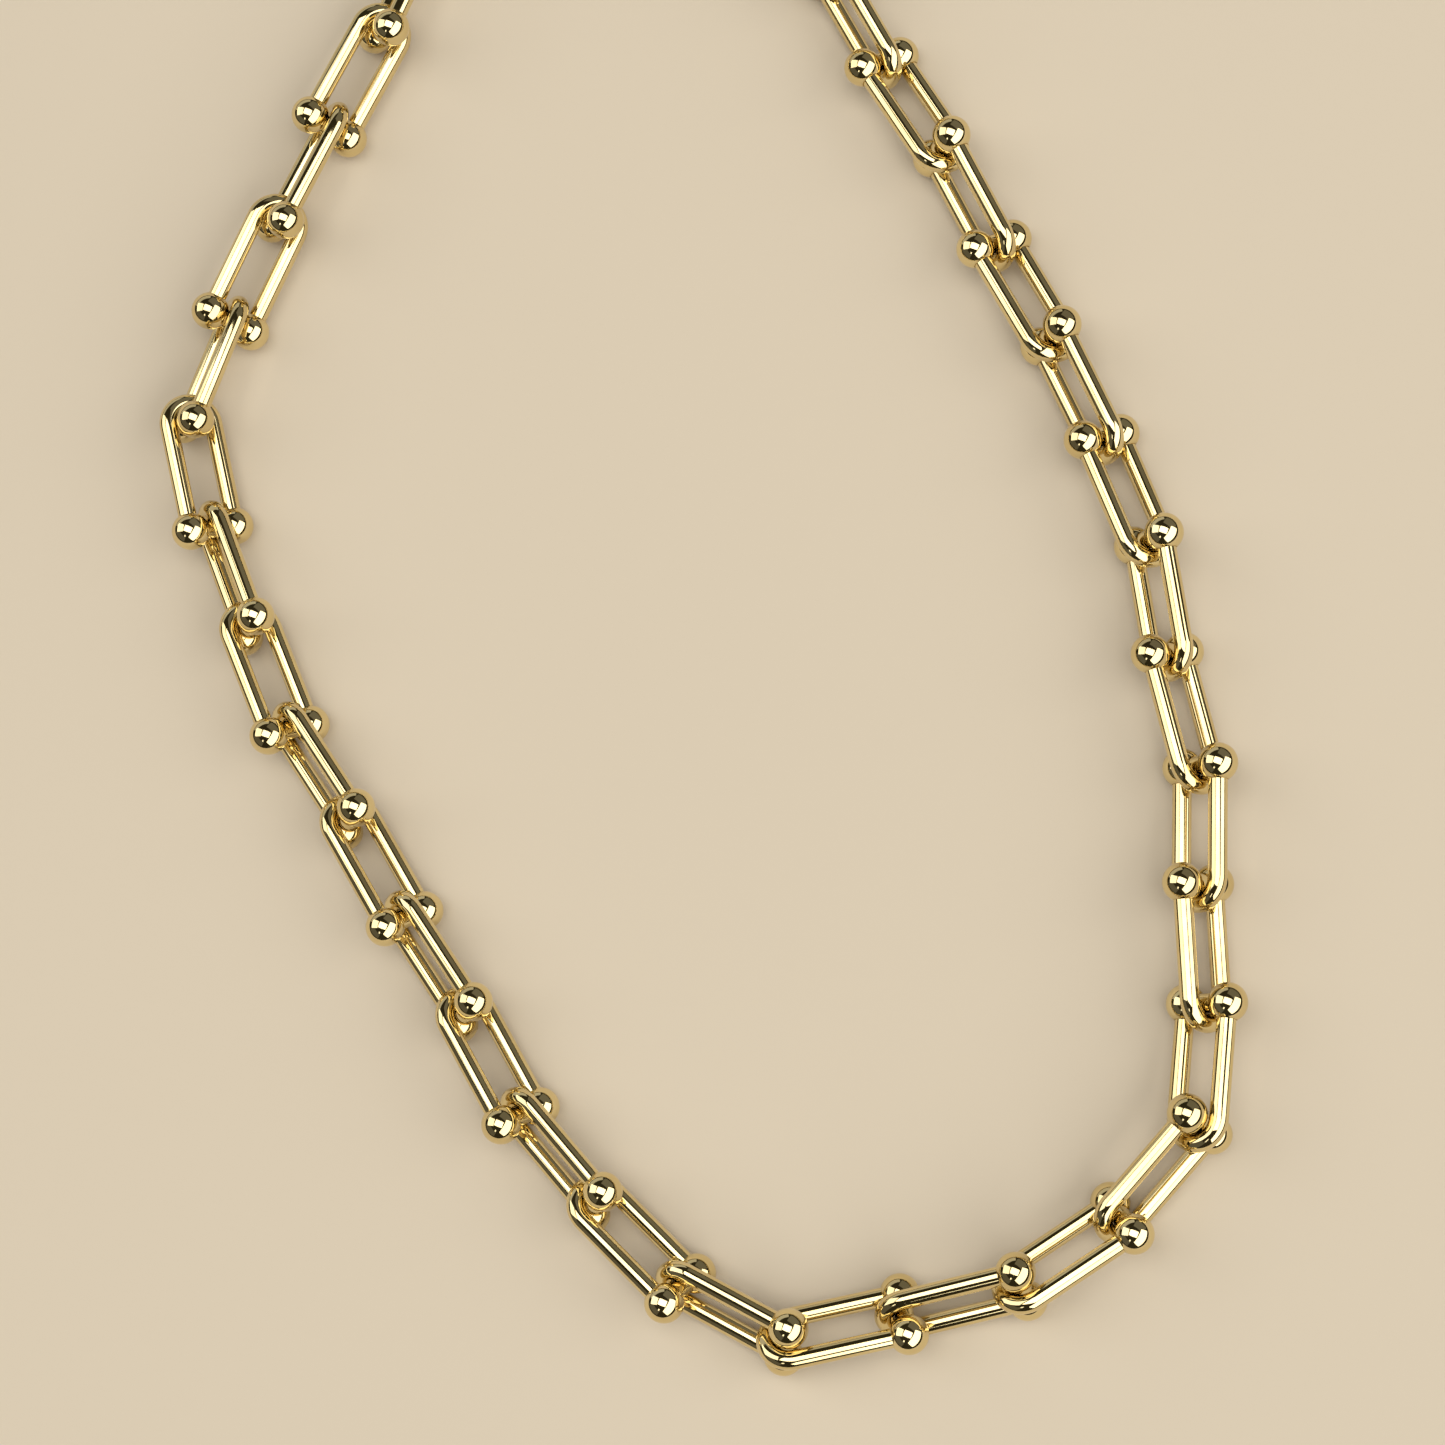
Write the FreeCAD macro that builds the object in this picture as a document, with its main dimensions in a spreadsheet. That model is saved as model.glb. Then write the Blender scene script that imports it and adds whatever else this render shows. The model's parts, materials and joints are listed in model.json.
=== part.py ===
"""Chain necklace of round-wire U links, laid out flat with its clasp undone.

Millimetres, +Z up. The necklace rests on the plane z = 0, and the origin is the bottom centre of
its bounding box. Each link is a bent wire bow whose two open ends are soldered to balls, and a
crossbar that runs from ball to ball. The next link's bend wraps that crossbar, which is the hinge.
"""

import FreeCAD, Part
import Sketcher
import math
import os
from FreeCAD import Placement, Rotation, Vector

UP = Vector(0, 0, 1)
NO_TURN = Rotation()

# The sketcher's numbers for its X axis and for the ends and centre of a curve.
X_AXIS = -1
START, END, CENTRE = 1, 2, 3
EDGE_TOLERANCE = 1e-6

SIZES = {
    # chain
    "wire_diameter": 1.9,
    "ball_diameter": 3.9,
    "leg_spacing": 4.8,
    "link_pitch": 11.6,
    "seat_gap": 0.05,
    # from a ball's middle to the flat on it, as wide as the wire, that a wire's end is soldered to
    "wire_seat": "=sqrt(ball_diameter ^ 2 - wire_diameter ^ 2) / 2",
    # rings at the two ends of the chain
    "end_ring_wire": 1.2,
    "end_ring_radius": 2.9,
    "end_ring_gap": 0.12,
    "clasp_ring_wire": 1.1,
    "clasp_ring_radius": 2.4,
    # clasp, from the axis of its eye
    "clasp_thickness": 3.0,
    "clasp_rounding": 0.9,
    "eye_x": 0.0,
    "eye_outer_radius": 1.75,
    "eye_hole_radius": 1.05,
    "eye_thickness": 1.2,
    "shoulder_x": 3.0,
    "shoulder_radius": 2.1,
    "nose_x": 7.6,
    "nose_outer_radius": 3.4,
    "nose_hole_radius": 1.9,
    "pivot_x": 3.3,
    "pivot_y": 0.9,
    "pin_diameter": 0.8,
    "pin_clearance": 0.05,
    "slot_thickness": 1.6,
    "slot_back_x": 1.9,
    "slot_floor_y": -1.0,
    "mouth_x": 5.5,
    "mouth_y": 0.6,
    "mouth_swing_radius": 5.9,
    "lever_thickness": 1.4,
    "lever_swing_radius": 5.8,
    "lever_outer_radius": 3.25,
    "lever_inner_radius": 2.0,
    "lever_boss_radius": 0.9,
    "lever_arm_width": 1.3,
    "thumb_tab_radius": 0.8,
    "spring_leaf": 0.15,
    "spring_height": 1.2,
    "spring_length": 2.4,
}

# How each link lies, from the bow at the end ring's side to the clasp's side: the heading of its
# legs, in degrees from +X, and the lean of its crossbar, in degrees. Neighbours are a quarter turn
# apart, so every second link adds 90 degrees to its lean.
LINK_LAY = (
    (-107, 71), (-119, 69), (-124, 64), (-127, 59), (-121, 54), (-127, 54), (-124, 55),
    (-124, 55), (-118, 57), (-86, 57), (-76, 57), (-76, 55), (-64, 54), (-68, 53), (-64, 53),
    (-69, 53), (-57, 55), (-53, 56), (-36, 56), (4, 58), (5, 56), (25, 55), (40, 54), (76, 57),
    (84, 51), (80, 47), (95, 46), (90, 41), (103, 37), (106, 34), (110, 33), (108, 32),
    (113, 31), (110, 26), (93, 22), (87, 17), (66, 12),
)
SEATING_STEPS = 4

# How the loose ends lie, in degrees: the droop of the end ring, the rise of the clasp ring about
# the last crossbar, and the way the clasp points from there.
END_RING_DROOP = 5
CLASP_RING_RISE = 50
CLASP_DIP = -4.5
CLASP_SWING = -12

# Turns inside the clasp, in degrees: the lever's arm from the clasp's length, and the spring's
# leaf from the back of its slot towards the lever's boss.
LEVER_ARM_TURN = 8
SPRING_LEAN = 7.5


def make_sheet(doc):
    """The driving dimensions, one row each, with the name as the cell's alias."""
    sheet = doc.addObject("Spreadsheet::Sheet", "Sizes")
    for row, (name, value) in enumerate(SIZES.items(), start=1):
        sheet.set(f"A{row}", name)
        sheet.set(f"B{row}", str(value))
        sheet.setAlias(f"B{row}", name)
    doc.recompute()
    return sheet


def primitive(doc, kind, name, sizes, place=None, turn=NO_TURN):
    """A Part primitive whose sizes and position are expressions on the sheet."""
    shape = doc.addObject(f"Part::{kind}", name)
    shape.Placement = Placement(Vector(), turn)
    for key, expression in sizes.items():
        shape.setExpression(key, expression)
    for axis, expression in (place or {}).items():
        shape.setExpression(f"Placement.Base.{axis}", expression)
    return shape


def fuse(doc, name, *shapes):
    """The shapes joined in one solid."""
    joined = doc.addObject("Part::MultiFuse", name)
    joined.Shapes = list(shapes)
    joined.Refine = True
    return joined


def cut(doc, name, base, tool):
    """The base without the tool."""
    remainder = doc.addObject("Part::Cut", name)
    remainder.Base = base
    remainder.Tool = tool
    return remainder


def common(doc, name, *shapes):
    """What all the shapes share."""
    shared = doc.addObject("Part::MultiCommon", name)
    shared.Shapes = list(shapes)
    return shared


# ---------------------------------------------------------------- links

def make_link_pieces(doc):
    """The four pieces of one link, in the link's own frame.

    Its origin is on the axis of the crossbar that its bend wraps, +X runs along its legs and Y
    along its own crossbar.
    """
    along_x = Rotation(Vector(0, 1, 0), 90)
    along_y = Rotation(Vector(1, 0, 0), -90)
    bend_x = "Sizes.leg_spacing / 2 - Sizes.wire_diameter - Sizes.seat_gap"
    wire = {"Radius": "Sizes.wire_diameter / 2"}
    legs = []
    for side, sign in (("left", ""), ("right", "-")):
        leg = primitive(
            doc, "Cylinder", f"leg_{side}",
            dict(wire, Height=f"Sizes.link_pitch - Sizes.wire_seat - ({bend_x})"),
            {"x": bend_x, "y": f"{sign}Sizes.leg_spacing / 2"}, along_x)
        legs.append(leg)
    bend = primitive(
        doc, "Torus", "bend",
        {"Radius1": "Sizes.leg_spacing / 2", "Radius2": "Sizes.wire_diameter / 2",
         "Angle3": "180"},
        {"x": bend_x}, Rotation(UP, 90))
    bow = fuse(doc, "bow", legs[0], legs[1], bend)
    crossbar = primitive(
        doc, "Cylinder", "crossbar",
        dict(wire, Height="Sizes.leg_spacing - 2 * Sizes.wire_seat"),
        {"x": "Sizes.link_pitch", "y": "Sizes.wire_seat - Sizes.leg_spacing / 2"}, along_y)
    pieces = [bow, crossbar]
    for side, sign, block_y in (
            ("left", "", "Sizes.leg_spacing / 2 - Sizes.wire_seat"),
            ("right", "-", "-Sizes.leg_spacing / 2 - Sizes.ball_diameter")):
        sphere = primitive(
            doc, "Sphere", f"sphere_{side}", {"Radius": "Sizes.ball_diameter / 2"},
            {"x": "Sizes.link_pitch", "y": f"{sign}Sizes.leg_spacing / 2"})
        # two sides of the block cut the ball's two flats, and its others are clear of the ball
        block_side = "Sizes.wire_seat + Sizes.ball_diameter"
        block = primitive(
            doc, "Box", f"seat_block_{side}",
            {"Length": block_side, "Width": block_side, "Height": "2 * Sizes.ball_diameter"},
            {"x": "Sizes.link_pitch - Sizes.wire_seat", "y": block_y,
             "z": "-Sizes.ball_diameter"})
        pieces.append(common(doc, f"ball_{side}", sphere, block))
    return pieces


def crossbar_heights(sheet, leans):
    """How high each crossbar's middle rests above the plane.

    A link rests on its lower ball, or the next link's lower leg holds its crossbar up.
    """
    half_width = sheet.leg_spacing / 2
    ball_rise = [half_width * abs(math.sin(lean)) for lean in leans]
    heights = []
    for own, following in zip(ball_rise, ball_rise[1:] + [0.0]):
        heights.append(max(sheet.ball_diameter / 2 + own, sheet.wire_diameter / 2 + following))
    return heights


def lay_links(sheet):
    """The placement of every link: each bend sits square and centred on the crossbar before it."""
    hug = sheet.wire_diameter + sheet.seat_gap
    pitch = sheet.link_pitch
    leans = [math.radians(lean + 90 * (index % 2)) for index, (_, lean) in enumerate(LINK_LAY)]
    heights = crossbar_heights(sheet, leans)
    placements = []
    resting_bend = sheet.wire_diameter / 2 + sheet.leg_spacing / 2 * math.sin(leans[0])
    hinge = Vector(0, 0, resting_bend)
    hinge_axis = None
    for (heading, _), lean, height in zip(LINK_LAY, leans, heights):
        level = Vector(math.cos(math.radians(heading)), math.sin(math.radians(heading)), 0)
        origin = hinge
        for _ in range(SEATING_STEPS):
            rise = (height - origin.z) / pitch
            along = level * math.sqrt(1 - rise * rise) + UP * rise
            if hinge_axis is not None:
                square = (along - hinge_axis * along.dot(hinge_axis)).normalize()
                origin = hinge + (along - square) * hug
        level_side = UP.cross(along).normalize()
        side = level_side * math.cos(lean) + along.cross(level_side) * math.sin(lean)
        placements.append(Placement(origin, Rotation(along, side, along.cross(side), "XYZ")))
        hinge = origin + along * pitch
        hinge_axis = side
    return placements


def make_links(doc, pieces, placements):
    """One node for each link, with the link's four pieces as separate solids."""
    links = []
    for number, placement in enumerate(placements, start=1):
        link = doc.addObject("Part::Compound", f"link_{number:02d}")
        link.Links = pieces
        link.Placement = placement
        links.append(link)
    return links


# ---------------------------------------------------------------- rings

def make_ring(doc, name, wire, radius, centre, normal):
    """A closed round-wire ring."""
    ring = primitive(doc, "Torus", name, {"Radius1": f"Sizes.{radius}", "Radius2": f"Sizes.{wire} / 2"})
    ring.Placement = Placement(centre, Rotation(UP, normal))
    return ring


def make_end_ring(doc, sheet, first_link):
    """The ring that the clasp hooks into, threaded on the first link's bend."""
    along = first_link.Rotation.multVec(Vector(1, 0, 0))
    side = first_link.Rotation.multVec(Vector(0, 1, 0))
    apex = first_link.Base - along * (sheet.wire_diameter + sheet.seat_gap)
    flat = along.cross(side)
    droop = Rotation(flat, -END_RING_DROOP)
    reach = sheet.end_ring_radius - sheet.end_ring_wire / 2 - sheet.wire_diameter / 2 - sheet.end_ring_gap
    centre = apex - along * reach
    return make_ring(doc, "end_ring", "end_ring_wire", "end_ring_radius", centre,
                     droop.multVec(side))


def make_clasp_ring(doc, sheet, last_link):
    """The ring round the last crossbar, between its balls, and the frame of the clasp's eye."""
    along = last_link.Rotation.multVec(Vector(1, 0, 0))
    side = last_link.Rotation.multVec(Vector(0, 1, 0))
    crossbar = last_link.Base + along * sheet.link_pitch
    reach = (sheet.clasp_ring_radius - sheet.clasp_ring_wire / 2 - sheet.wire_diameter / 2
             - sheet.seat_gap)
    centre = crossbar + Rotation(side, -CLASP_RING_RISE).multVec(along) * reach
    ring = make_ring(doc, "clasp_ring", "clasp_ring_wire", "clasp_ring_radius", centre, side)
    outward = Rotation(side, CLASP_DIP).multVec(along)
    eye = centre + outward * sheet.clasp_ring_radius
    tangent = outward.cross(side)
    swing = Rotation(tangent, CLASP_SWING)
    eye_turn = Rotation(swing.multVec(outward), swing.multVec(side), tangent, "XYZ")
    return ring, Placement(eye, eye_turn)


# ---------------------------------------------------------------- clasp

def origin_plane(body, role):
    """One of the body's own origin planes."""
    return next(feature for feature in body.Origin.OriginFeatures if feature.Role == role)


def new_sketch(body, name):
    """A sketch on the body's own XY plane."""
    sketch = body.newObject("Sketcher::SketchObject", name)
    sketch.AttachmentSupport = [(origin_plane(body, "XY_Plane"), "")]
    sketch.MapMode = "FlatFace"
    return sketch


def symmetric(body, kind, name, sketch, length):
    """A pad or a pocket that is symmetric about the sketch's plane."""
    feature = body.newObject(f"PartDesign::{kind}", name)
    feature.Profile = sketch
    feature.SideType = "Symmetric"
    feature.setExpression("Length", length)
    return feature


def on_x_axis(sketch, curve, name, centre_x, radius):
    """Bind a circle's or an arc's radius, and its centre on the sketch's X axis."""
    sketch.addConstraint(Sketcher.Constraint("PointOnObject", curve, CENTRE, X_AXIS))
    geometry = sketch.Geometry[curve]
    for kind, arguments, expression in (
            ("Radius", (curve, geometry.Radius), radius),
            ("DistanceX", (X_AXIS, START, curve, CENTRE, geometry.Center.x), centre_x)):
        index = sketch.addConstraint(Sketcher.Constraint(kind, *arguments))
        label = f"{name}_{kind}"
        sketch.renameConstraint(index, label)
        sketch.setExpression(f"Constraints.{label}", expression)


def add_outline(sketch, sheet, tail, nose):
    """The outline round two circles on the X axis: two arcs and the two lines that touch both.

    Each end is given as a name with the sheet's aliases for its centre and its radius.
    """
    ends = []
    for name, x_alias, radius_alias in (tail, nose):
        ends.append((name, x_alias, radius_alias, sheet.get(x_alias), sheet.get(radius_alias)))
    (_, _, _, tail_x, tail_radius), (_, _, _, nose_x, nose_radius) = ends
    touch = math.pi / 2 + math.asin((nose_radius - tail_radius) / (nose_x - tail_x))
    arcs = []
    for (_, _, _, x, radius), (first, last) in zip(ends, ((touch, -touch), (-touch, touch))):
        circle = Part.Circle(Vector(x, 0, 0), UP, radius)
        arcs.append(sketch.addGeometry(Part.ArcOfCircle(circle, first, last % (2 * math.pi)), False))
    lines = []
    for side in (1, -1):
        points = [Vector(x + radius * math.cos(touch), side * radius * math.sin(touch), 0)
                  for _, _, _, x, radius in ends]
        lines.append(sketch.addGeometry(Part.LineSegment(*points), False))
    upper, lower = lines
    tail_arc, nose_arc = arcs
    for line, line_end, arc, arc_end in (
            (upper, START, tail_arc, START), (lower, START, tail_arc, END),
            (upper, END, nose_arc, END), (lower, END, nose_arc, START)):
        sketch.addConstraint(Sketcher.Constraint("Tangent", line, line_end, arc, arc_end))
    for (name, x_alias, radius_alias, _, _), arc in zip(ends, arcs):
        on_x_axis(sketch, arc, name, f"Sizes.{x_alias}", f"Sizes.{radius_alias}")


def add_hole(sketch, sheet, name, x_alias, radius_alias):
    """A circle on the X axis."""
    circle = Part.Circle(Vector(sheet.get(x_alias), 0, 0), UP, sheet.get(radius_alias))
    index = sketch.addGeometry(circle, False)
    on_x_axis(sketch, index, name, f"Sizes.{x_alias}", f"Sizes.{radius_alias}")


def outer_edges(shape, height):
    """The names of the edges that lie in the plane z = height."""
    names = []
    for number, edge in enumerate(shape.Edges, start=1):
        box = edge.BoundBox
        if abs(box.ZMin - height) < EDGE_TOLERANCE and abs(box.ZMax - height) < EDGE_TOLERANCE:
            names.append(f"Edge{number}")
    return names


def make_claw(doc, sheet):
    """The clasp's body before its lever's slot and mouth are cut: an eye tab and a round nose."""
    claw = doc.addObject("PartDesign::Body", "claw")
    nose_sketch = new_sketch(claw, "claw_outline")
    add_outline(nose_sketch, sheet, ("shoulder", "shoulder_x", "shoulder_radius"),
                ("nose", "nose_x", "nose_outer_radius"))
    nose_pad = symmetric(claw, "Pad", "claw_pad", nose_sketch, "Sizes.clasp_thickness")
    doc.recompute()
    half = sheet.clasp_thickness / 2
    rounding = claw.newObject("PartDesign::Fillet", "claw_rounding")
    rounding.Base = (nose_pad, outer_edges(nose_pad.Shape, half) + outer_edges(nose_pad.Shape, -half))
    rounding.setExpression("Radius", "Sizes.clasp_rounding")
    tab_sketch = new_sketch(claw, "eye_outline")
    add_outline(tab_sketch, sheet, ("eye", "eye_x", "eye_outer_radius"),
                ("shoulder", "shoulder_x", "shoulder_radius"))
    symmetric(claw, "Pad", "eye_tab", tab_sketch, "Sizes.eye_thickness")
    holes = new_sketch(claw, "claw_holes")
    add_hole(holes, sheet, "eye", "eye_x", "eye_hole_radius")
    add_hole(holes, sheet, "nose", "nose_x", "nose_hole_radius")
    symmetric(claw, "Pocket", "claw_openings", holes, "2 * Sizes.clasp_thickness")
    return claw


def upright(doc, name, radius, height, x, y):
    """A cylinder along Z, centred on the clasp's middle plane."""
    return primitive(doc, "Cylinder", name, {"Radius": radius, "Height": height},
                     {"x": x, "y": y, "z": f"-({height}) / 2"})


def slab(doc, name, length, width, height, x, y, turn=NO_TURN):
    """A box centred on the clasp's middle plane, with one corner at x, y."""
    return primitive(doc, "Box", name, {"Length": length, "Width": width, "Height": height},
                     {"x": x, "y": y, "z": f"-({height}) / 2"}, turn)


def make_clasp_body(doc, sheet):
    """The claw with a slot for the lever, a mouth that the lever closes, and the pin's hole."""
    through = "2 * Sizes.clasp_thickness"
    slot = slab(doc, "lever_slot", "Sizes.nose_x - Sizes.slot_back_x", through,
                "Sizes.slot_thickness", "Sizes.slot_back_x", "Sizes.slot_floor_y")
    swing = upright(doc, "mouth_swing", "Sizes.mouth_swing_radius", through,
                    "Sizes.pivot_x", "Sizes.pivot_y")
    gap = slab(doc, "mouth_gap", through, through, through, "Sizes.mouth_x", "Sizes.mouth_y")
    mouth = common(doc, "mouth", swing, gap)
    pin_hole = upright(doc, "pin_hole", "Sizes.pin_diameter / 2", through,
                       "Sizes.pivot_x", "Sizes.pivot_y")
    openings = fuse(doc, "clasp_openings", slot, mouth, pin_hole)
    return cut(doc, "clasp_body", make_claw(doc, sheet), openings)


def make_clasp_lever(doc):
    """The sprung lever: a gate that closes the mouth, its arm, its boss and a tab for the thumb."""
    thick = "Sizes.lever_thickness"
    rim = upright(doc, "gate_rim", "Sizes.lever_outer_radius", thick, "Sizes.nose_x", "0")
    hollow = upright(doc, "gate_hollow", "Sizes.lever_inner_radius", f"2 * {thick}",
                     "Sizes.nose_x", "0")
    reach = upright(doc, "gate_reach", "Sizes.lever_swing_radius", thick,
                    "Sizes.pivot_x", "Sizes.pivot_y")
    upper = slab(doc, "gate_side", "2 * Sizes.lever_outer_radius", "2 * Sizes.lever_outer_radius",
                 thick, "Sizes.nose_x - Sizes.lever_outer_radius", "Sizes.pivot_y")
    gate = common(doc, "gate", cut(doc, "gate_ring", rim, hollow), reach, upper)
    boss = upright(doc, "lever_boss", "Sizes.lever_boss_radius", thick,
                   "Sizes.pivot_x", "Sizes.pivot_y")
    arm = slab(doc, "lever_arm", "2 * Sizes.lever_arm_width", "Sizes.lever_arm_width", thick,
               "Sizes.pivot_x", "Sizes.pivot_y", Rotation(UP, LEVER_ARM_TURN))
    thumb = upright(doc, "thumb_tab", "Sizes.thumb_tab_radius", thick,
                    "Sizes.pivot_x + Sizes.lever_arm_width",
                    "Sizes.pivot_y + Sizes.lever_arm_width + Sizes.thumb_tab_radius")
    stem = slab(doc, "thumb_stem", "2 * Sizes.thumb_tab_radius", "Sizes.lever_arm_width", thick,
                "Sizes.pivot_x + Sizes.lever_arm_width - Sizes.thumb_tab_radius",
                "Sizes.pivot_y + Sizes.thumb_tab_radius")
    solid = fuse(doc, "lever_solid", gate, boss, arm, thumb, stem)
    bore = upright(doc, "lever_bore", "Sizes.pin_diameter / 2 + Sizes.pin_clearance", f"2 * {thick}",
                   "Sizes.pivot_x", "Sizes.pivot_y")
    return cut(doc, "clasp_lever", solid, bore)


def make_clasp(doc, sheet, eye):
    """The lobster clasp's four pieces, all in the frame of its eye."""
    shank = upright(doc, "pin_shank", "Sizes.pin_diameter / 2", "Sizes.clasp_thickness",
                  "Sizes.pivot_x", "Sizes.pivot_y")
    leaf = slab(doc, "spring_strip", "Sizes.spring_leaf", "Sizes.spring_length",
                "Sizes.spring_height", "Sizes.slot_back_x + Sizes.pin_clearance",
                "Sizes.slot_floor_y + Sizes.pin_clearance", Rotation(UP, -SPRING_LEAN))
    pieces = [make_clasp_body(doc, sheet), make_clasp_lever(doc)]
    for name, solid in (("clasp_pin", shank), ("clasp_spring", leaf)):
        piece = doc.addObject("Part::Compound", name)
        piece.Links = [solid]
        pieces.append(piece)
    for piece in pieces:
        piece.Placement = eye
    return pieces


# ---------------------------------------------------------------- whole necklace

def centre_on_origin(pieces):
    """Move everything together so that the origin is the bottom centre of the bounding box."""
    box = Part.makeCompound([piece.Shape for piece in pieces]).optimalBoundingBox(False)
    shift = Vector(-box.Center.x, -box.Center.y, -box.ZMin)
    for piece in pieces:
        piece.Placement.Base = piece.Placement.Base + shift


def check(doc, pieces):
    """Stop at any object that failed, and at any sub-part that isn't valid solids."""
    for item in doc.Objects:
        if {"Invalid", "Error"} & set(item.State):
            raise RuntimeError(f"{item.Label}: {item.State}")
    for piece in pieces:
        if piece.Shape.isNull() or not piece.Shape.isValid() or not piece.Shape.Solids:
            raise RuntimeError(f"{piece.Label}: the shape is not valid solids")


def main():
    doc = FreeCAD.newDocument("necklace")
    sheet = make_sheet(doc)
    placements = lay_links(sheet)
    pieces = make_links(doc, make_link_pieces(doc), placements)
    pieces.append(make_end_ring(doc, sheet, placements[0]))
    clasp_ring, eye = make_clasp_ring(doc, sheet, placements[-1])
    pieces.append(clasp_ring)
    pieces.extend(make_clasp(doc, sheet, eye))
    doc.recompute()
    centre_on_origin(pieces)
    doc.recompute()
    check(doc, pieces)
    os.makedirs("parts", exist_ok=True)
    for piece in pieces:
        piece.Shape.exportStep(f"parts/{piece.Label}.step")


main()
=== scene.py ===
"""Polished gold chain of U links with ball ends, laid out with its clasp undone."""

import json
import math

import bpy
import numpy as np
from bpy.props import FloatProperty, FloatVectorProperty, IntProperty, PointerProperty
from mathutils import Euler, Matrix, Vector


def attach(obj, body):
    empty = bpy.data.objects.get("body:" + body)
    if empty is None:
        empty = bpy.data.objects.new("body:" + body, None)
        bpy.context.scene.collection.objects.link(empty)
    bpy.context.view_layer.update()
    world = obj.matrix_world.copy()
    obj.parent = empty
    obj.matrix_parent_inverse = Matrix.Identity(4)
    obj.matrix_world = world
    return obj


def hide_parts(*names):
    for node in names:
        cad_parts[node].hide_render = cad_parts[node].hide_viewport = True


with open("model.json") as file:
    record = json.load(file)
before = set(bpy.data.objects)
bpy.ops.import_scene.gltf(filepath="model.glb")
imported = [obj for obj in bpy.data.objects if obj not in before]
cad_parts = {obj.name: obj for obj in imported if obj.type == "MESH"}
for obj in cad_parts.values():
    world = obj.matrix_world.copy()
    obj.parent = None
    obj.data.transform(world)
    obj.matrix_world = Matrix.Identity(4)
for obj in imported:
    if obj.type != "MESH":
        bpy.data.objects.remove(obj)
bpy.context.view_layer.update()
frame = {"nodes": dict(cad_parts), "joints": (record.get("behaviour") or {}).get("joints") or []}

bl_info = {
    "name": "Ball-ended link necklace",
    "version": (1, 0, 0),
    "blender": (4, 5, 0),
    "location": "View3D > Sidebar > Necklace",
    "description": "Models a polished chain necklace of ball-ended links round its fixed frame",
    "category": "Add Mesh",
}

LINKS = sorted(name for name in frame["nodes"] if name.startswith("link_"))
JOINTS = {joint["name"]: joint for joint in frame["joints"]}

CROSSBAR_STEPS = 6
RING_SIZES = (("end_ring", 0.0012, 0.0029), ("clasp_ring", 0.0011, 0.0024))  # name, wire, radius
RING_SEAM = 0.00006
CLASP_BODIES = {"clasp_body": "clasp", "clasp_lever": "clasp_lever", "clasp_pin": "clasp"}
CLASP_EDGE = 0.00006
LAMP_DISTANCE = 2.4
LAMP_COLOUR = (1.0, 0.98, 0.93)
LAMP_POWER = 4.0  # watts per square metre of a rectangular lamp, for a radiance of 1


# ---------------------------------------------------------------- settings

class NecklaceWireSettings(bpy.types.PropertyGroup):
    """Sizes of the links and the rings."""

    wire_diameter: FloatProperty(
        name="Wire diameter", description="Thickness of the round wire of bows and crossbars",
        default=0.0019, unit="LENGTH")
    ball_diameter: FloatProperty(
        name="Ball diameter", description="Size of the ball on each open end of a bow",
        default=0.0039, unit="LENGTH")
    leg_spacing: FloatProperty(
        name="Leg spacing", description="From the middle of one leg to the middle of the other",
        default=0.0048, unit="LENGTH")
    link_pitch: FloatProperty(
        name="Link pitch", description="From the crossbar that a bend wraps to the link's own",
        default=0.0116, unit="LENGTH")
    seat_gap: FloatProperty(
        name="Seat gap", description="Gap between a bend and the crossbar that it wraps",
        default=0.00005, unit="LENGTH")
    seat_depth: FloatProperty(
        name="Seat depth", description="How far a wire's end stops short of the ball's middle",
        default=0.00095, unit="LENGTH")
    groove: FloatProperty(
        name="Seat groove", description="Width of the fine groove where a wire enters a ball",
        default=0.00007, unit="LENGTH")
    wire_sides: IntProperty(
        name="Wire sides", description="Faces round the wire", default=40, min=8)
    bend_steps: IntProperty(
        name="Bend steps", description="Faces along the bend", default=36, min=8)
    leg_steps: IntProperty(
        name="Leg steps", description="Faces along each leg", default=8, min=1)
    ball_cuts: IntProperty(
        name="Ball cuts", description="Cuts across each side of the cube a ball starts as",
        default=19, min=4)


class NecklaceStageSettings(bpy.types.PropertyGroup):
    """The floor, the lights and the camera."""

    floor_size: FloatProperty(
        name="Floor size", description="Side of the square floor", default=3.0, unit="LENGTH")
    floor_colour: FloatVectorProperty(
        name="Floor colour", description="Plain pale floor", subtype="COLOR", size=3,
        default=(0.61, 0.53, 0.42), min=0, max=1)
    room_colour: FloatVectorProperty(
        name="Room colour", description="Dim room behind the lights", subtype="COLOR", size=3,
        default=(0.030, 0.027, 0.017), min=0, max=1)
    backdrop_colour: FloatVectorProperty(
        name="Backdrop colour", description="What shows beyond the floor", subtype="COLOR", size=3,
        default=(0.72, 0.66, 0.57), min=0, max=1)
    camera_place: FloatVectorProperty(
        name="Camera place", description="From the middle of the necklace's base", size=3,
        default=(0.04283, -0.10654, 0.33251), subtype="TRANSLATION", unit="LENGTH")
    camera_turn: FloatVectorProperty(
        name="Camera turn", description="Turn from looking straight down", size=3,
        default=tuple(math.radians(angle) for angle in (10.93, 8.69, -8.16)), subtype="EULER")
    camera_lens: FloatProperty(
        name="Lens", description="Focal length on a 36 mm sensor, in mm", default=84.7)


# ---------------------------------------------------------------- shader maths

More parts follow.
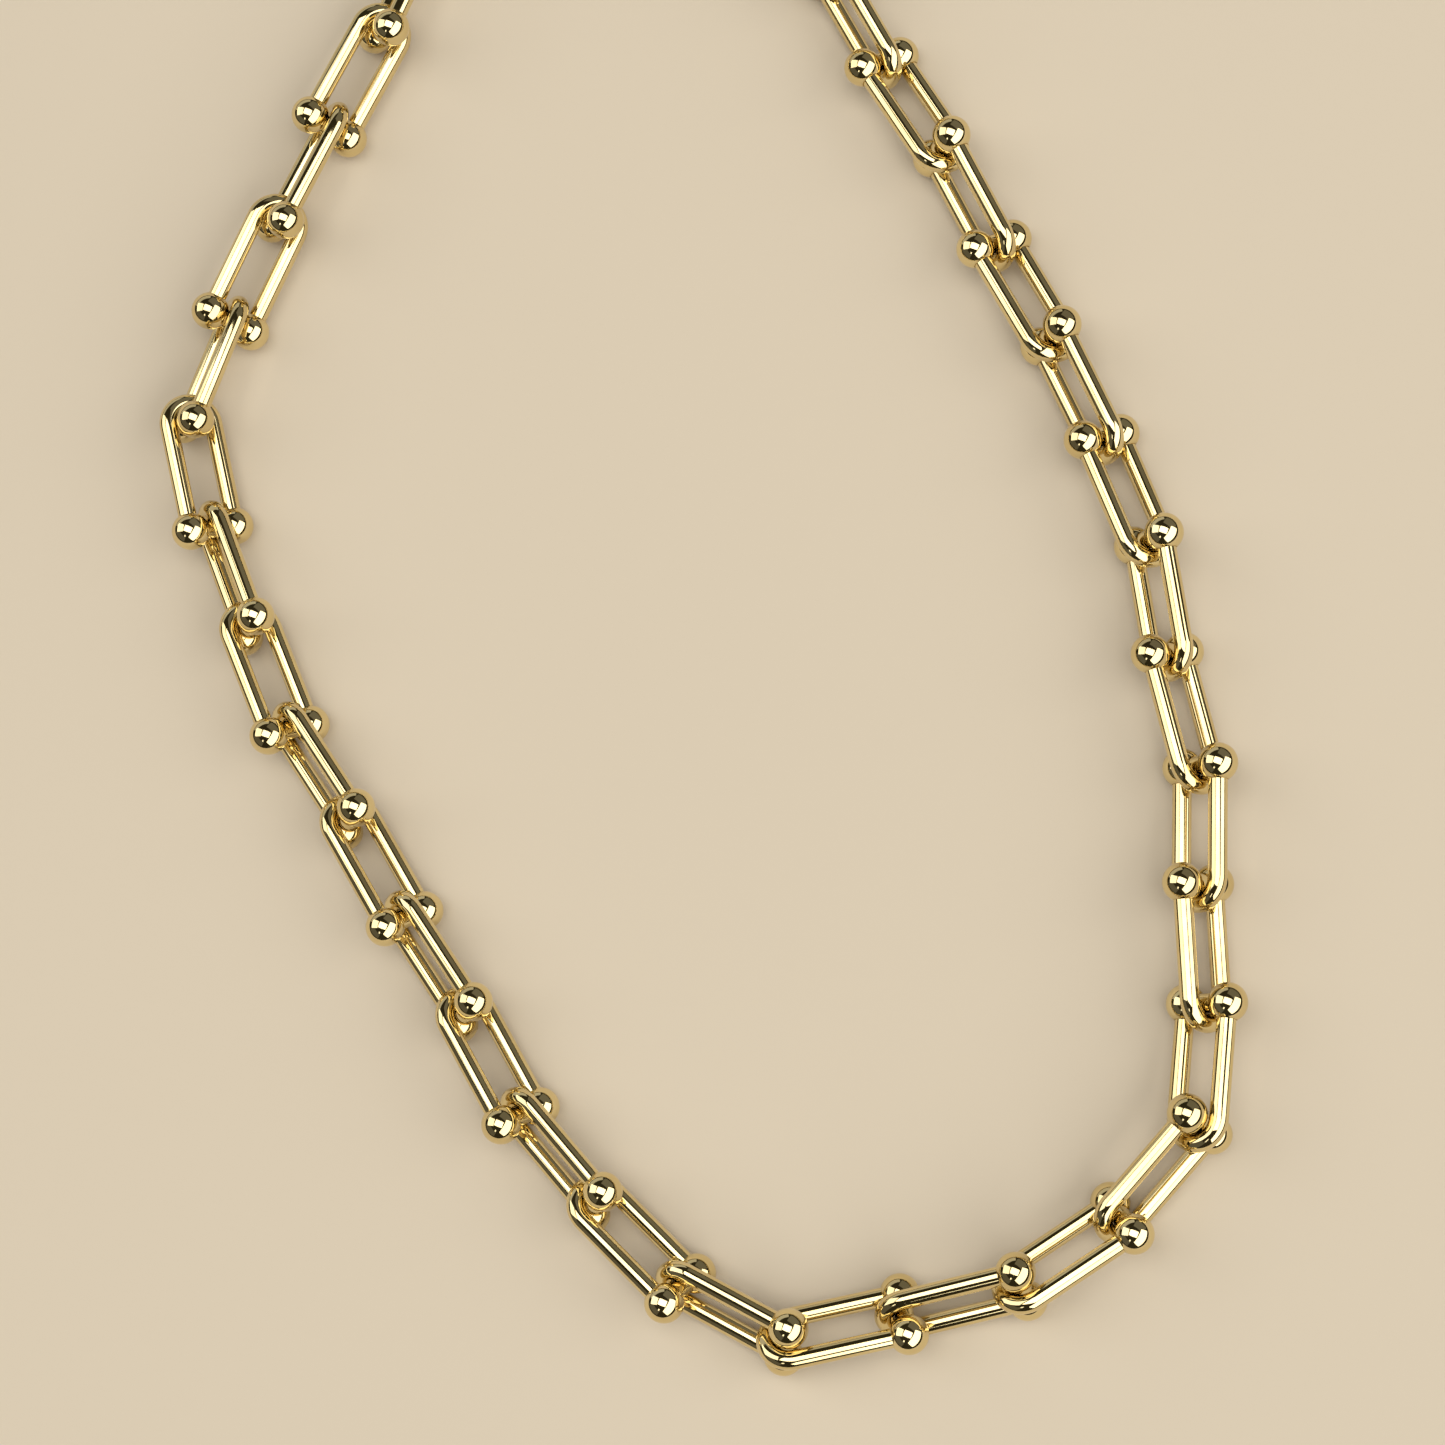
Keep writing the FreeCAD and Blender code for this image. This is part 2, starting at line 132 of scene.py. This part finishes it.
class Value:
    """A shader socket that Python's operators act on."""

    def __init__(self, finish, socket):
        self.finish = finish
        self.socket = socket

    def maths(self, operation, *others):
        return self.finish.node("ShaderNodeMath", {"operation": operation},
                                dict(enumerate((self, *others))))

    def __add__(self, other):
        return self.maths("ADD", other)

    def __sub__(self, other):
        return self.maths("SUBTRACT", other)

    def __mul__(self, other):
        return self.maths("MULTIPLY", other)

    __radd__ = __add__
    __rmul__ = __mul__

    def __rsub__(self, other):
        return self * -1.0 + other

    def between(self, low, high):
        """0 below low, 1 above high, smooth between."""
        return self.finish.node("ShaderNodeMapRange", {"interpolation_type": "SMOOTHSTEP"},
                                {"Value": self, "From Min": low, "From Max": high})


class Finish:
    """The nodes of a material, or of the room round the object, added one by one."""

    def __init__(self, owner):
        owner.use_nodes = True
        self.owner = owner
        self.tree = owner.node_tree
        self.shader = self.tree.nodes.get("Principled BSDF")

    def plug(self, owner, sockets):
        """Give each named socket of a node its value or its link."""
        for name, value in sockets.items():
            socket = owner.inputs[name]
            if isinstance(value, Value):
                self.tree.links.new(value.socket, socket)
            else:
                socket.default_value = value

    def node(self, kind, settings, sockets, output=0):
        """Add a node: its settings first, then its sockets. Returns one of its outputs."""
        made = self.tree.nodes.new(kind)
        for name, value in settings.items():
            setattr(made, name, value)
        self.plug(made, sockets)
        return Value(self, made.outputs[output])

    def mix(self, factor, first, second):
        """Mix two colours."""
        return self.node("ShaderNodeMix", {"data_type": "RGBA"},
                         {0: factor, 6: first, 7: second}, 2)

    def place(self):
        """Where a point lies on the object."""
        return self.node("ShaderNodeTexCoord", {}, {}, "Object")

    def noise(self, place, **sockets):
        """Soft noise from 0 to 1."""
        return self.node("ShaderNodeTexNoise", {}, {"Vector": place, **sockets})

    def bump(self, height, distance, strength):
        """Tilt the surface by a height map."""
        return self.node("ShaderNodeBump", {}, {"Height": height, "Distance": distance,
                                                "Strength": strength})


def polished_gold(name, bright, deep, roughness):
    """Polished plate: a slow drift of colour, faint smears, hairlines, and painted shade with a
    rougher surface where wires enter balls.
    """
    gold = Finish(bpy.data.materials.new(name))
    place = gold.place()
    drift = gold.noise(place, Scale=160.0, Detail=2.0)
    smears = gold.noise(place, Scale=900.0, Detail=4.0, Distortion=1.2)
    turned = gold.node("ShaderNodeMapping", {},
                       {"Vector": place, "Rotation": (0.5, 0.9, 0.4), "Scale": (1.0, 9.0, 6.0)})
    threads = gold.noise(turned, Scale=700.0, Detail=3.0, Distortion=0.6)
    hairlines = 1.0 - (threads - 0.5).maths("ABSOLUTE").between(0.0, 0.012)
    # Mask for painted shade: near 1 at the edge where a wire enters a ball.
    seat = gold.node("ShaderNodeAttribute", {"attribute_name": "seat"}, {}, "Fac")
    tone = gold.mix(drift.between(0.35, 0.65), (*bright, 1.0), (*deep, 1.0))
    # Painted shade: a darker gold mixed into the base colour where wires enter balls.
    painted_seat_shade = tuple(0.45 * channel for channel in deep)
    gold.plug(gold.shader, {
        "Base Color": gold.mix(seat * 0.55, tone, (*painted_seat_shade, 1.0)),
        "Metallic": 1.0,
        "Roughness": smears.between(0.45, 0.75) * 0.04 + hairlines * 0.02 + seat * 0.12 + roughness,
        "Normal": gold.bump(hairlines * -0.5 + smears * 0.2, 0.000001, 0.15)})
    return gold.owner


def spring_steel():
    """Rolled strip: fine rolling lines along it and an uneven grey."""
    steel = Finish(bpy.data.materials.new("rolled_spring_steel"))
    place = steel.place()
    stretched = steel.node("ShaderNodeMapping", {}, {"Vector": place, "Scale": (1.0, 8.0, 8.0)})
    lines = steel.noise(stretched, Scale=900.0, Detail=3.0)
    cloud = steel.noise(place, Scale=700.0, Detail=2.0)
    steel.plug(steel.shader, {
        "Base Color": steel.mix(cloud, (0.62, 0.61, 0.58, 1.0), (0.50, 0.49, 0.47, 1.0)),
        "Metallic": 1.0,
        "Roughness": lines.between(0.3, 0.7) * 0.12 + 0.26,
        "Normal": steel.bump(lines, 0.000002, 0.3)})
    return steel.owner


def floor_card(settings):
    """Matt pale card with a barely visible tooth."""
    card = Finish(bpy.data.materials.new("floor_card"))
    place = card.place()
    tooth = card.noise(place, Scale=400.0, Detail=3.0)
    cloud = card.noise(place, Scale=6.0, Detail=2.0)
    light = tuple(settings.floor_colour)
    shade = tuple(0.97 * channel for channel in light)
    card.plug(card.shader, {
        "Base Color": card.mix(cloud, (*light, 1.0), (*shade, 1.0)),
        "Roughness": 0.85,
        "Specular IOR Level": 0.2,
        "Normal": card.bump(tooth, 0.0001, 0.15)})
    return card.owner


def dim_room(settings):
    """A dim room for the gold to reflect, that looks pale beyond the floor's edge."""
    room = Finish(bpy.data.worlds.new("dim_room"))
    seen = room.node("ShaderNodeLightPath", {}, {}, "Is Camera Ray")
    dark, pale = (room.node("ShaderNodeBackground", {}, {"Color": (*colour, 1.0)})
                  for colour in (settings.room_colour, settings.backdrop_colour))
    surface = room.node("ShaderNodeMixShader", {}, {0: seen, 1: dark, 2: pale})
    room.plug(room.tree.nodes["World Output"], {"Surface": surface})
    return room.owner


# ---------------------------------------------------------------- modelling

def deselect():
    """Leave nothing selected, in object mode."""
    bpy.ops.object.select_all(action="DESELECT")


def pick(piece):
    """Select one piece alone and make it the active one."""
    deselect()
    bpy.context.view_layer.objects.active = piece
    piece.select_set(True)


def smooth(piece, degrees):
    """Shade a piece smooth, except along edges sharper than the angle."""
    pick(piece)
    bpy.ops.object.shade_smooth_by_angle(angle=math.radians(degrees))


def edit(piece):
    """Open one piece for editing with all of it selected."""
    pick(piece)
    bpy.ops.object.mode_set(mode="EDIT")
    bpy.ops.mesh.select_all(action="SELECT")


def close_edit():
    """Go back to object mode."""
    bpy.ops.object.mode_set(mode="OBJECT")


def named(name):
    """Name the piece that was just added."""
    piece = bpy.context.object
    piece.name = name
    return piece


def apply_modifier(piece, kind, **settings):
    """Add a modifier and apply it."""
    pick(piece)
    modifier = piece.modifiers.new(kind.lower(), kind)
    for name, value in settings.items():
        setattr(modifier, name, value)
    bpy.ops.object.modifier_apply(modifier=modifier.name)


def settle(piece):
    """Put a piece's place and turn in its mesh."""
    pick(piece)
    bpy.ops.object.transform_apply(location=True, rotation=True, scale=True)


def join(name, pieces):
    """Join pieces in one object."""
    deselect()
    for piece in pieces:
        piece.select_set(True)
    bpy.context.view_layer.objects.active = pieces[0]
    bpy.ops.object.join()
    return named(name)


def wire_circle(name, radius, sides, place, turn):
    """An open circle of edges, to be drawn out as wire."""
    deselect()
    bpy.ops.mesh.primitive_circle_add(
        vertices=sides, radius=radius, fill_type="NOTHING", location=place, rotation=turn)
    piece = named(name)
    settle(piece)
    return piece


def draw_out(step, count):
    """Extrude the selected ring of edges in equal steps."""
    for _ in range(count):
        bpy.ops.mesh.extrude_edges_move(TRANSFORM_OT_translate={"value": step})


def close_ends():
    """Fill the open ends and turn every face outwards."""
    bpy.ops.mesh.select_all(action="SELECT")
    bpy.ops.mesh.remove_doubles(threshold=1e-8)
    bpy.ops.mesh.fill_holes(sides=0)
    bpy.ops.mesh.select_all(action="SELECT")
    bpy.ops.mesh.normals_make_consistent(inside=False)


def make_bow(settings):
    """The bent wire of a link: a leg, a half-round bend and the other leg."""
    half = settings.leg_spacing / 2
    bend_x = half - settings.wire_diameter - settings.seat_gap
    leg_end = settings.link_pitch - settings.seat_depth
    leg_step = (leg_end - bend_x) / settings.leg_steps
    bow = wire_circle("bow", settings.wire_diameter / 2, settings.wire_sides,
                      (leg_end, half, 0.0), (0.0, math.pi / 2, 0.0))
    edit(bow)
    draw_out((-leg_step, 0.0, 0.0), settings.leg_steps)
    bpy.ops.mesh.spin(steps=settings.bend_steps, angle=-math.pi, center=(bend_x, 0.0, 0.0),
                      axis=(0.0, 0.0, 1.0))
    draw_out((leg_step, 0.0, 0.0), settings.leg_steps)
    close_ends()
    close_edit()
    return bow


def make_crossbar(settings):
    """The short wire from ball to ball."""
    reach = settings.leg_spacing / 2 - settings.seat_depth
    crossbar = wire_circle("crossbar", settings.wire_diameter / 2, settings.wire_sides,
                           (settings.link_pitch, -reach, 0.0), (math.pi / 2, 0.0, 0.0))
    edit(crossbar)
    draw_out((0.0, 2 * reach / CROSSBAR_STEPS, 0.0), CROSSBAR_STEPS)
    close_ends()
    close_edit()
    return crossbar


def cut_from(piece, cutters):
    """Take each cutter out of the piece."""
    for cutter in cutters:
        apply_modifier(piece, "BOOLEAN", operation="DIFFERENCE", solver="EXACT", object=cutter)


def discard(pieces):
    """Delete working pieces and their meshes."""
    for piece in pieces:
        bpy.data.meshes.remove(piece.data)


def groove_cutter(settings, place, inward):
    """A short cone that opens a fine groove round a wire where it enters a ball at place."""
    wire = settings.wire_diameter / 2
    groove = settings.groove
    surface = math.sqrt((settings.ball_diameter / 2) ** 2 - (wire + groove) ** 2)
    deselect()
    bpy.ops.mesh.primitive_cone_add(
        vertices=2 * settings.wire_sides, radius1=wire, radius2=wire + 2 * groove, depth=2 * groove,
        location=Vector(place) - Vector(inward) * surface,
        rotation=(-Vector(inward)).to_track_quat("Z", "Y").to_euler())
    cutter = named("groove_cutter")
    settle(cutter)
    return cutter


def make_ball(settings, side, wires):
    """A ball on one open end of the bow, bored for its leg and for the crossbar."""
    centre = (settings.link_pitch, side * settings.leg_spacing / 2, 0.0)
    deselect()
    bpy.ops.mesh.primitive_cube_add(size=settings.ball_diameter / 2)
    ball = named("ball")
    edit(ball)
    bpy.ops.mesh.subdivide(number_cuts=settings.ball_cuts)
    close_edit()
    apply_modifier(ball, "CAST", cast_type="SPHERE", factor=1.0, use_radius_as_size=False,
                   size=settings.ball_diameter / 2)
    ball.location = centre
    settle(ball)
    grooves = [groove_cutter(settings, centre, (1.0, 0.0, 0.0)),
               groove_cutter(settings, centre, (0.0, side, 0.0))]
    cut_from(ball, [*grooves, *wires])
    discard(grooves)
    return ball


def mark_seats(link, settings):
    """Store how close each point is to the edge where a wire enters a ball, from 0 to 1; the gold
    reads it for painted shade and extra roughness there.
    """
    wire = settings.wire_diameter / 2
    reach = 0.16 * settings.wire_diameter
    surface = math.sqrt((settings.ball_diameter / 2) ** 2 - wire ** 2)
    points = np.empty(len(link.data.vertices) * 3)
    link.data.vertices.foreach_get("co", points)
    points = points.reshape(-1, 3)
    nearest = np.full(len(points), 1.0)
    for side in (-1, 1):
        ball = np.array((settings.link_pitch, side * settings.leg_spacing / 2, 0.0))
        for axis in (np.array((-1.0, 0.0, 0.0)), np.array((0.0, -side, 0.0))):
            along = (points - ball) @ axis
            away = np.linalg.norm(points - ball - along[:, None] * axis, axis=1)
            nearest = np.minimum(nearest, np.hypot(along - surface, away - wire))
    seat = np.clip(1.0 - nearest / reach, 0.0, 1.0) ** 2
    attribute = link.data.attributes.new("seat", "FLOAT", "POINT")
    attribute.data.foreach_set("value", seat)


def make_link(settings):
    """One whole link in its own frame: its bend wraps the origin's Y axis, its legs run along X."""
    bow = make_bow(settings)
    crossbar = make_crossbar(settings)
    balls = [make_ball(settings, side, (bow, crossbar)) for side in (-1, 1)]
    link = join("link_pattern", [bow, crossbar, *balls])
    smooth(link, 35)
    mark_seats(link, settings)
    return link


def make_split_ring(name, wire, radius, seam, settings):
    """A ring bent from round wire, in its own XY plane, with a closed butt seam."""
    start = seam / radius / 2
    ring = wire_circle(name, wire / 2, settings.wire_sides, (radius, 0.0, 0.0),
                       (math.pi / 2, 0.0, 0.0))
    edit(ring)
    bpy.ops.mesh.spin(steps=2 * settings.bend_steps, angle=2 * math.pi - 2 * start,
                      center=(0.0, 0.0, 0.0), axis=(0.0, 0.0, 1.0))
    close_ends()
    close_edit()
    apply_modifier(ring, "BEVEL", width=0.04 * wire, segments=2, limit_method="ANGLE",
                   angle_limit=math.radians(60))
    smooth(ring, 40)
    return ring


# ---------------------------------------------------------------- places from the frame

def node_points(name):
    """The points of a fixed node, as rows."""
    mesh = frame["nodes"][name].data
    points = np.empty(len(mesh.vertices) * 3)
    mesh.vertices.foreach_get("co", points)
    return points.reshape(-1, 3)


def node_centre(name):
    """The middle of a fixed node's volume."""
    mesh = frame["nodes"][name].data
    corners = np.empty(len(mesh.loops), dtype=np.int32)
    mesh.loops.foreach_get("vertex_index", corners)
    faces = node_points(name)[corners].reshape(-1, 3, 3)
    volumes = np.einsum("ij,ij->i", faces[:, 0], np.cross(faces[:, 1], faces[:, 2]))
    return Vector(volumes @ faces.sum(axis=1) / volumes.sum() / 4)


def crossbar_joint(number):
    """The joint whose axis is a link's own crossbar."""
    last = number == len(LINKS)
    return JOINTS["clasp_ring_swing" if last else f"crossbar_{number:02d}_hinge"]


def link_place(number, name, settings):
    """The place of a link, with its crossbar on its joint's axis and its legs along its length."""
    joint = crossbar_joint(number)
    crossbar = Vector(joint["pos_m"])
    side = Vector(joint["axis"]).normalized()
    along = crossbar - node_centre(name)
    along = (along - side * along.dot(side)).normalized()
    place = Matrix((along, side, along.cross(side))).transposed().to_4x4()
    place.translation = crossbar - along * settings.link_pitch
    return place


def ring_place(name):
    """The place of a round ring: its middle, with Z along its axis."""
    points = node_points(name)
    centre = node_centre(name)
    _, _, directions = np.linalg.svd(points - np.array(centre), full_matrices=False)
    across = Vector(directions[0]).normalized()
    axis = Vector(directions[2]).normalized()
    place = Matrix((across, axis.cross(across), axis)).transposed().to_4x4()
    place.translation = centre
    return place


def put(piece, place, body, *replaced):
    """Put a finished piece in its place, in its mesh, riding on its body."""
    piece.data.transform(place)
    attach(piece, body)
    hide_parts(*replaced)


def coat(piece, material):
    """Give the piece its only material."""
    piece.data.materials.clear()
    piece.data.materials.append(material)


# ---------------------------------------------------------------- operators

class NECKLACE_OT_links(bpy.types.Operator):
    """Model one link and lay a copy of it on every link of the frame"""

    bl_idname = "necklace.links"
    bl_label = "Links"

    def execute(self, context):
        settings = context.scene.necklace_wire
        gold = polished_gold("link_gold", (0.81, 0.675, 0.37), (0.74, 0.60, 0.31), 0.05)
        pattern = make_link(settings)
        for number, name in enumerate(LINKS, start=1):
            link = bpy.data.objects.new(f"gold_{name}", pattern.data.copy())
            context.scene.collection.objects.link(link)
            coat(link, gold)
            put(link, link_place(number, name, settings), name, name)
        discard([pattern])
        return {"FINISHED"}


class NECKLACE_OT_rings(bpy.types.Operator):
    """Model the end ring and the clasp's ring as bent wire with a butt seam"""

    bl_idname = "necklace.rings"
    bl_label = "Rings"

    def execute(self, context):
        settings = context.scene.necklace_wire
        gold = polished_gold("ring_gold", (0.80, 0.665, 0.36), (0.74, 0.60, 0.31), 0.06)
        for name, wire, radius in RING_SIZES:
            ring = make_split_ring(f"gold_{name}", wire, radius, RING_SEAM, settings)
            coat(ring, gold)
            put(ring, ring_place(name), name, name)
        return {"FINISHED"}


class NECKLACE_OT_clasp(bpy.types.Operator):
    """Model the lobster clasp"""

    bl_idname = "necklace.clasp"
    bl_label = "Clasp"

    def execute(self, context):
        gold = polished_gold("clasp_gold", (0.80, 0.665, 0.36), (0.74, 0.60, 0.31), 0.055)
        for name, body in CLASP_BODIES.items():
            piece = bpy.data.objects.new(f"gold_{name}", frame["nodes"][name].data.copy())
            context.scene.collection.objects.link(piece)
            edit(piece)
            bpy.ops.mesh.remove_doubles(threshold=1e-7)
            bpy.ops.mesh.dissolve_limited(angle_limit=math.radians(1))
            close_edit()
            apply_modifier(piece, "BEVEL", width=CLASP_EDGE, segments=2, limit_method="ANGLE",
                           angle_limit=math.radians(40))
            smooth(piece, 35)
            coat(piece, gold)
            put(piece, Matrix(), body, name)
        coat(frame["nodes"]["clasp_spring"], spring_steel())
        return {"FINISHED"}


class NECKLACE_OT_stage(bpy.types.Operator):
    """Lay the floor and set the lights and the camera"""

    bl_idname = "necklace.stage"
    bl_label = "Stage"

    def execute(self, context):
        settings = context.scene.necklace_stage
        deselect()
        bpy.ops.mesh.primitive_plane_add(size=settings.floor_size)
        floor = named("floor")
        floor.data.materials.append(floor_card(settings))
        context.scene.world = dim_room(settings)
        context.scene.view_settings.view_transform = "Standard"
        self.add_camera(context, settings)
        self.add_lights()
        return {"FINISHED"}

    def add_camera(self, context, settings):
        """The camera stands above the loop, almost looking straight down."""
        bpy.ops.object.camera_add(location=settings.camera_place, rotation=settings.camera_turn)
        camera = bpy.context.object
        camera.name = "camera"
        camera.data.sensor_width = 36.0
        camera.data.lens = settings.camera_lens
        camera.data.clip_start = 0.01
        camera.data.clip_end = 10.0
        context.scene.camera = camera

    def add_lights(self):
        """Softboxes: wide ones low in front, overhead and on the left, and dim ones as fill."""
        for name, azimuth, elevation, width, height, radiance in (
                ("front_softbox", -39.0, 37.0, 4.5, 2.00, 2.0),
                ("overhead_softbox", 60.0, 90.0, 2.15, 1.55, 2.3),
                ("left_softbox", 158.0, 40.0, 1.7, 1.80, 1.5),
                ("small_softbox", -128.0, 44.0, 0.28, 0.44, 1.5),
                ("back_softbox", 115.0, 16.0, 3.4, 1.00, 0.40),
                ("right_fill", 42.0, 32.0, 2.6, 2.00, 0.11),
                ("left_fill", -158.0, 24.0, 2.8, 1.40, 0.07)):
            turn = Euler((math.radians(90.0 - elevation), 0.0, math.radians(azimuth + 90.0)))
            bpy.ops.object.light_add(type="AREA", rotation=turn,
                                     location=turn.to_matrix() @ Vector((0.0, 0.0, LAMP_DISTANCE)))
            lamp = bpy.context.object
            lamp.name = name
            lamp.data.shape = "RECTANGLE"
            lamp.data.size = width
            lamp.data.size_y = height
            lamp.data.energy = radiance * width * height * LAMP_POWER
            lamp.data.color = LAMP_COLOUR


class NECKLACE_PT_panel(bpy.types.Panel):
    """The necklace's pieces, in the order that they are made."""

    bl_label = "Necklace"
    bl_idname = "NECKLACE_PT_panel"
    bl_space_type = "VIEW_3D"
    bl_region_type = "UI"
    bl_category = "Necklace"

    def draw(self, context):
        for operator in OPERATORS:
            self.layout.operator(operator.bl_idname)


OPERATORS = (NECKLACE_OT_links, NECKLACE_OT_rings, NECKLACE_OT_clasp, NECKLACE_OT_stage)
SETTINGS = {"necklace_wire": NecklaceWireSettings, "necklace_stage": NecklaceStageSettings}


def register():
    for cls in (*SETTINGS.values(), *OPERATORS, NECKLACE_PT_panel):
        bpy.utils.register_class(cls)
    for name, cls in SETTINGS.items():
        setattr(bpy.types.Scene, name, PointerProperty(type=cls))


def unregister():
    for name in SETTINGS:
        delattr(bpy.types.Scene, name)
    for cls in (NECKLACE_PT_panel, *OPERATORS, *SETTINGS.values()):
        bpy.utils.unregister_class(cls)


def main():
    register()
    bpy.ops.necklace.stage()
    bpy.ops.necklace.links()
    bpy.ops.necklace.rings()
    bpy.ops.necklace.clasp()


if __name__ == "__main__":
    main()
